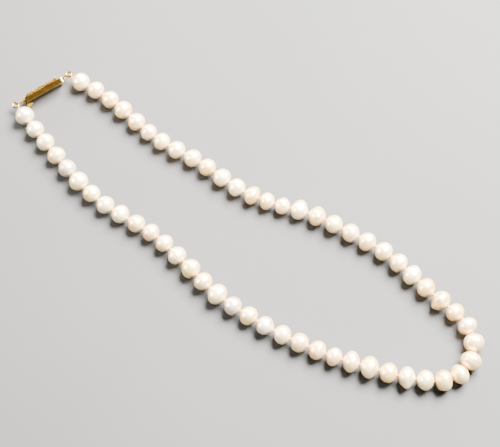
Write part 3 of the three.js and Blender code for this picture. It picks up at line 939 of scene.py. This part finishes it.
ring_piece("ring_a_wire", RING_A_PLACE, "ring_a", "jump_ring_a", math.radians(120))
ring_piece("ring_b_wire", RING_B_PLACE, "ring_b", "jump_ring_b", math.radians(200))
eye_piece("box_eye_wire", -BOX_LENGTH / 2 - 0.15, RING_A_PLACE, "clasp_body", "box_eye")
eye_piece("tongue_eye_wire", BOX_LENGTH / 2 + CAP_GAP + 0.5, RING_B_PLACE, "tongue", "tongue_eye")
gimp_piece("gimp_a_coil", KNOTS[0], RING_A_PLACE, "link_01", "gimp_a")
gimp_piece("gimp_b_coil", KNOTS[-1], RING_B_PLACE, "link_15", "gimp_b")

# ---------------- clasp


BEVEL_ANGLE = math.radians(35)


def bevel(piece, width, segments):
    """Rounds the piece's sharp edges."""
    modifier = piece.modifiers.new("rounded_edges", "BEVEL")
    modifier.width = width * MM
    modifier.segments = segments
    modifier.limit_method = "ANGLE"
    modifier.angle_limit = BEVEL_ANGLE
    modifier.harden_normals = True


# The face of a block at its high end along X, which is where the box's mouth is.
MOUTH_FACE = [4, 6, 7, 5]


def block(x, y, z):
    """A block between two values on each axis of the clasp's frame."""
    corners = [(x[i], y[j], z[k]) for i in (0, 1) for j in (0, 1) for k in (0, 1)]
    faces = [[0, 1, 3, 2], MOUTH_FACE, [0, 4, 5, 1], [2, 3, 7, 6], [0, 2, 6, 4], [1, 5, 7, 3]]
    return corners, faces


def prism(outline, low, high):
    """A flat plate with that outline in X and Y, counterclockwise."""
    count = len(outline)
    vertices = [Vector((x, y, z)) for z in (low, high) for x, y in outline]
    faces = [list(range(count))[::-1], list(range(count, 2 * count))]
    faces += [[k, (k + 1) % count, (k + 1) % count + count, k + count] for k in range(count)]
    return vertices, faces


def strip(line, half, low, high):
    """A leaf of sheet metal that follows line in X and Y."""
    upper, lower = [], []
    for i, point in enumerate(line):
        along = (line[min(i + 1, len(line) - 1)] - line[max(i - 1, 0)]).normalized()
        across = Vector((-along.y, along.x, 0)) * half
        upper.append(point + across)
        lower.append(point - across)
    vertices, faces = [], []
    for a, b in zip(upper, lower):
        vertices += [Vector((p.x, p.y, z)) for p, z in ((a, high), (a, low), (b, low), (b, high))]
    for i in range(len(line) - 1):
        here, there = i * 4, i * 4 + 4
        faces += [[here + k, here + (k + 1) % 4, there + (k + 1) % 4, there + k] for k in range(4)]
    end = (len(line) - 1) * 4
    return vertices, faces + [[3, 2, 1, 0], [end, end + 1, end + 2, end + 3]]


HALF_LENGTH = BOX_LENGTH / 2
HALF_THICKNESS = BOX_THICKNESS / 2
BOX_BEVEL = 0.14
BAND_WIDTH = 0.75
BAND_PROUD = 0.07
BAND_LOW = 0.02
BAND_BEVEL = 0.12
TONGUE_LENGTH = 9.6
TONGUE_HALF_HEIGHT = 2.7
LEAF_HALF_THICKNESS = 0.15
CAP_THICKNESS = 0.35
CAP_INSET = 0.5
TONGUE_BEVEL = 0.07
SPRING_BEVEL = 0.05


def sleeve():
    """The box: an open-mouthed sleeve, as outer and inner shells joined round the mouth."""
    outer = block((-HALF_LENGTH, HALF_LENGTH), (-HALF_THICKNESS, HALF_THICKNESS), (0, BOX_HEIGHT))
    wall = BOX_WALL
    inner = block(
        (-HALF_LENGTH + wall, HALF_LENGTH),
        (-HALF_THICKNESS + wall, HALF_THICKNESS - wall),
        (wall, BOX_HEIGHT - wall),
    )
    vertices = list(outer[0]) + list(inner[0])
    faces = [face for face in outer[1] if face != MOUTH_FACE]
    faces += [[i + 8 for i in face[::-1]] for face in inner[1] if face != MOUTH_FACE]
    faces += [[4, 6, 14, 12], [6, 7, 15, 14], [7, 5, 13, 15], [5, 4, 12, 13]]
    return vertices, faces


def add_box():
    """The sleeve, and the band round its closed end, which is rougher to catch the key light and has a
    paler gold as a painted highlight.
    """
    shape = Shape(*sleeve())
    shape.place(LEANING)
    box = new_piece("box_sleeve", shape, GOLD_POLISHED, "clasp_body", "clasp_box")
    bevel(box, BOX_BEVEL, 4)
    side = HALF_THICKNESS + BAND_PROUD
    band = Shape(*block(
        (-HALF_LENGTH - BAND_PROUD, -HALF_LENGTH + BAND_WIDTH),
        (-side, side),
        (BAND_LOW, BOX_HEIGHT + BAND_PROUD),
    ))
    band.place(LEANING)
    # Its paler gold paints in the highlight on the box's end.
    end = new_piece("box_end_band", band, GOLD_BAND_PAINTED_HIGHLIGHT, "clasp_body", "clasp_box")
    bevel(end, BAND_BEVEL, 4)


add_box()


def add_tongue():
    """The base leaf, and the cap plate outside the mouth that it ends in."""
    cap_x = HALF_LENGTH + CAP_GAP
    shape = Shape(*block(
        (HALF_LENGTH - TONGUE_LENGTH, cap_x + 0.1),
        (TONGUE_Y - LEAF_HALF_THICKNESS, TONGUE_Y + LEAF_HALF_THICKNESS),
        (MID_HEIGHT - TONGUE_HALF_HEIGHT, MID_HEIGHT + TONGUE_HALF_HEIGHT),
    ))
    shape.add(*block(
        (cap_x, cap_x + CAP_THICKNESS),
        (-HALF_THICKNESS, -0.1),
        (CAP_INSET, BOX_HEIGHT - CAP_INSET),
    ))
    shape.place(LEANING)
    tongue = new_piece("tongue_leaf", shape, GOLD_SPRING, "tongue", "clasp_tongue")
    bevel(tongue, TONGUE_BEVEL, 3)


add_tongue()


# The spring in X and Y: the leaf from its fold to the mouth, the push tab, and the lip at the tab's top.
LEAF_LINE = ((-1.0, 0.1), (4.0, 0.28), (8.8, 0.45))
TAB_LINE = ((9.02, 0.55), (9.05, 0.8), (8.9, 1.6), (8.62, 2.6), (8.5, 2.78), (8.3, 2.77), (6.62, 2.45))
TAB_LIP = ((8.95, 0.62), (9.12, 0.7), (8.98, 1.6), TAB_KNEE, TAB_END, (7.1, 1.7), (8.6, 1.65), (8.8, 1.5))
LIP_HEIGHT = 0.3
RIBS = 4
RIB_START = (8.3, 2.9)
RIB_STEP = (0.4, 0.069)
RIB_HEIGHTS = (-1.2, -0.4, 0.4, 1.2)
RIB_RADIUS = 0.09


def add_spring():
    """The upper leaf: it rises to the mouth, then turns out and back as the push tab, with lip and ribs."""
    line = smooth_path([Vector((*point, 0)) for point in LEAF_LINE], 6)
    line += [Vector((*point, 0)) for point in TAB_LINE]
    low, high = MID_HEIGHT - TAB_HEIGHT / 2, MID_HEIGHT + TAB_HEIGHT / 2
    shape = Shape(*strip(line, LEAF_HALF_THICKNESS, low, high))
    shape.add(*prism(TAB_LIP, high - LIP_HEIGHT, high))
    for k in range(RIBS):
        centre = Vector((RIB_START[0] - RIB_STEP[0] * k, RIB_START[1] - RIB_STEP[1] * k, MID_HEIGHT))
        shape.add(*tube([centre + UP * z for z in RIB_HEIGHTS], RIB_RADIUS, 8))
    shape.place(LEANING)
    spring = new_piece("spring_tab", shape, GOLD_SPRING, "spring", "tongue_spring")
    bevel(spring, SPRING_BEVEL, 2)


add_spring()

# ---------------- filigree

FACE_Y = -HALF_THICKNESS - 0.1


def on_face(x, z, proud):
    """A point on the box's outer side, x along it and z above its middle."""
    return Vector((x, FACE_Y - proud, MID_HEIGHT + z))


def rounded_rectangle(half_x, half_z, corner, proud, steps=10):
    """A closed outline on the box's outer side."""
    points = []
    for centre_x, centre_z, start in (
        (half_x - corner, half_z - corner, 0),
        (corner - half_x, half_z - corner, 90),
        (corner - half_x, corner - half_z, 180),
        (half_x - corner, corner - half_z, 270),
    ):
        for k in range(steps + 1):
            angle = math.radians(start + 90 * k / steps)
            x, z = centre_x + corner * math.cos(angle), centre_z + corner * math.sin(angle)
            points.append(on_face(x, z, proud))
    return points


def even(points, gap):
    """The same closed path with points about gap apart."""
    result = []
    for a, b in zip(points, points[1:] + points[:1]):
        steps = max(int(round((b - a).length / gap)), 1)
        result += [a.lerp(b, k / steps) for k in range(steps)]
    return result


def circle_on_face(x, z, half_x, half_z, proud, rise=0.0, steps=28):
    """An ellipse on the box's outer side, which stands further out by rise at its upper end."""
    points = []
    for k in range(steps):
        angle = 2 * math.pi * k / steps
        across, upward = math.cos(angle), math.sin(angle)
        points.append(on_face(x + half_x * across, z + half_z * upward, proud + rise * upward))
    return points


def spiral(centre_x, centre_z, radius, start, turns, lift):
    """A scroll that winds in towards its middle and rises as it goes."""
    points = []
    steps = int(SCROLL_STEPS_A_TURN * abs(turns))
    for k in range(steps + 1):
        t = k / steps
        angle = start + 2 * math.pi * turns * t
        reach = radius * (1 - SCROLL_CLOSING * t)
        x, z = centre_x + reach * math.cos(angle), centre_z + reach * math.sin(angle)
        points.append(on_face(x, z, SCROLL_PROUD + lift * t))
    return points


CELLS = 8
CELL_MARGIN = 0.35
BORDER_CORNER = 0.7
BORDER_STEP = 0.25
BORDER_PROUD = 0.12
BORDER_WIRE = 0.17
ROPE_PROUD = 0.42
ROPE_INSET = 0.02
ROPE_RADIUS = 0.1
ROPE_WIRE = 0.11
ROPE_PITCH = 0.8
# Two pairs of scrolls in each cell, with places and sizes as shares of the cell's pitch.
SCROLL_ROW = 0.52
SCROLL_OFFSET = 0.24
SCROLL_RADIUS = 0.3
SCROLL_TURNS = 1.25
SCROLL_LIFT = 0.35
SCROLL_PROUD = 0.3
SCROLL_CLOSING = 0.78
SCROLL_STEPS_A_TURN = 22
SCROLL_WIRE = 0.1
# A petal at each end of a cell, with a bead inside it.
PETAL_INSET = 0.55
PETAL_HALF_X = 0.4
PETAL_HALF_Z = 0.42
PETAL_PROUD = 0.62
PETAL_RISE = 0.2
PETAL_BEAD = 0.2
PETAL_BEAD_PROUD = 0.66
# A ring at the middle of each cell, with one large bead inside it and small beads on it.
RING_SIZE = 0.62
RING_PROUD = 0.55
ROUND_WIRE = 0.12
MIDDLE_BEAD = 0.34
MIDDLE_BEAD_PROUD = 0.62
RING_BEADS = 6
RING_BEAD = 0.12
RING_BEAD_PROUD = 0.68
BETWEEN_BEAD = 0.24
BETWEEN_BEAD_PROUD = 0.6
BETWEEN_ROW = 0.5


def filigree_cell(shape, x, pitch, half_z):
    """Scrolls and petals in two rows, and a beaded ring between them."""
    for row in (-1, 1):
        for hand in (-1, 1):
            middle_x, middle_z = x + hand * pitch * SCROLL_OFFSET, row * half_z * SCROLL_ROW
            turns = SCROLL_TURNS * hand * row
            start = -row * math.pi / 2
            scroll = spiral(middle_x, middle_z, pitch * SCROLL_RADIUS, start, turns, SCROLL_LIFT)
            shape.add(*tube(scroll, SCROLL_WIRE, 7))
        z = row * (half_z - PETAL_INSET)
        petal = circle_on_face(x, z, pitch * PETAL_HALF_X, PETAL_HALF_Z, PETAL_PROUD, PETAL_RISE * row)
        shape.add(*tube(petal, ROUND_WIRE, 8, closed=True))
        shape.add(*ball(on_face(x, z, PETAL_BEAD_PROUD), PETAL_BEAD))
    ring = circle_on_face(x, 0, RING_SIZE, RING_SIZE, RING_PROUD, steps=30)
    shape.add(*tube(ring, ROUND_WIRE, 8, closed=True))
    shape.add(*ball(on_face(x, 0, MIDDLE_BEAD_PROUD), MIDDLE_BEAD))
    for place in circle_on_face(x, 0, RING_SIZE, RING_SIZE, RING_BEAD_PROUD, steps=RING_BEADS):
        shape.add(*ball(place, RING_BEAD, 6, 10))


def add_filigree():
    """The cover: a border wire, a rope of two twisted wires, and a row of openwork cells."""
    half_x, half_z = COVER_LENGTH / 2 - 0.1, MID_HEIGHT - 0.35
    border = even(rounded_rectangle(half_x, half_z, BORDER_CORNER, BORDER_PROUD), BORDER_STEP)
    shape = Shape(*tube(border, BORDER_WIRE, 8, closed=True))
    rope = rounded_rectangle(half_x - ROPE_INSET, half_z - ROPE_INSET, BORDER_CORNER, ROPE_PROUD)
    rope = even(rope, BORDER_STEP)
    for path in (rope, rope[::-1]):
        shape.add(*coil(path, ROPE_RADIUS, ROPE_WIRE, ROPE_PITCH))
    pitch = 2 * (half_x - CELL_MARGIN) / CELLS
    for cell in range(CELLS):
        x = (cell - (CELLS - 1) / 2) * pitch
        filigree_cell(shape, x, pitch, half_z)
        if cell < CELLS - 1:
            for z in (-half_z * BETWEEN_ROW, half_z * BETWEEN_ROW):
                shape.add(*ball(on_face(x + pitch / 2, z, BETWEEN_BEAD_PROUD), BETWEEN_BEAD, 8, 12))
    shape.place(LEANING)
    # Its gold is darkened to paint the filigree's shade into its colour.
    new_piece("filigree_work", shape, GOLD_FILIGREE_PAINTED_SHADE, "clasp_body", "filigree_cover")


add_filigree()

# ---------------- floor and light


# The floor's two tones. They are low because the strong key light makes them pale.
FLOOR_TONES = ((0.0275, 0.0273, 0.027), (0.0302, 0.0300, 0.0297))
FLOOR_HALF_WIDTH = 1.6
FLOOR_DROP = 0.00002
WORLD_HORIZON = (0.32, 0.31, 0.30, 1)
WORLD_CEILING = (0.95, 0.94, 0.92, 1)
WORLD_CEILING_PLACE = 0.9
WORLD_STRENGTH = 0.12


def add_floor():
    nodes = Nodes("floor_pale")
    tone = nodes.ramp(nodes.noise(9, 3), [(0.35, FLOOR_TONES[0]), (0.65, FLOOR_TONES[1])])
    nodes.link(tone, nodes.shader.inputs["Base Color"])
    nodes.set(Roughness=0.8)
    half = FLOOR_HALF_WIDTH
    corners = [(-half, -half, 0), (half, -half, 0), (half, half, 0), (-half, half, 0)]
    mesh = bpy.data.meshes.new("floor")
    mesh.from_pydata(corners, [], [[0, 1, 2, 3]])
    mesh.materials.append(nodes.material)
    floor = bpy.data.objects.new("floor", mesh)
    floor.location.z = -FLOOR_DROP
    bpy.context.scene.collection.objects.link(floor)


def add_light(name, place, size, power, colour):
    """A soft rectangular light that faces what the camera looks at."""
    data = bpy.data.lights.new(name, "AREA")
    data.shape = "RECTANGLE"
    data.size, data.size_y = size
    data.energy = power
    data.color = colour
    light = bpy.data.objects.new(name, data)
    bpy.context.scene.collection.objects.link(light)
    look_at(light, place, CAMERA_TARGET)


def add_world():
    """A dim studio, a little brighter towards the ceiling."""
    world = bpy.data.worlds.new("studio")
    world.use_nodes = True
    tree = world.node_tree
    place = tree.nodes.new("ShaderNodeTexCoord")
    split = tree.nodes.new("ShaderNodeSeparateXYZ")
    ramp = tree.nodes.new("ShaderNodeValToRGB")
    ramp.color_ramp.elements[0].color = WORLD_HORIZON
    ramp.color_ramp.elements[1].position = WORLD_CEILING_PLACE
    ramp.color_ramp.elements[1].color = WORLD_CEILING
    tree.links.new(place.outputs["Generated"], split.inputs["Vector"])
    tree.links.new(split.outputs["Z"], ramp.inputs["Fac"])
    background = tree.nodes["Background"]
    tree.links.new(ramp.outputs["Color"], background.inputs["Color"])
    background.inputs["Strength"].default_value = WORLD_STRENGTH
    bpy.context.scene.world = world


add_floor()
add_light("key", IMAGE_RIGHT * 300 + IMAGE_UP * 330 + UP * 600, (0.5, 0.42), 222, (1.0, 0.98, 0.94))
add_light("rim", IMAGE_RIGHT * -300 + IMAGE_UP * 720 + UP * 330, (0.5, 0.16), 18, (1.0, 0.97, 0.94))
add_light("fill", IMAGE_RIGHT * -560 + IMAGE_UP * 60 + UP * 300, (0.3, 0.4), 9, (1.0, 0.95, 0.9))
add_world()
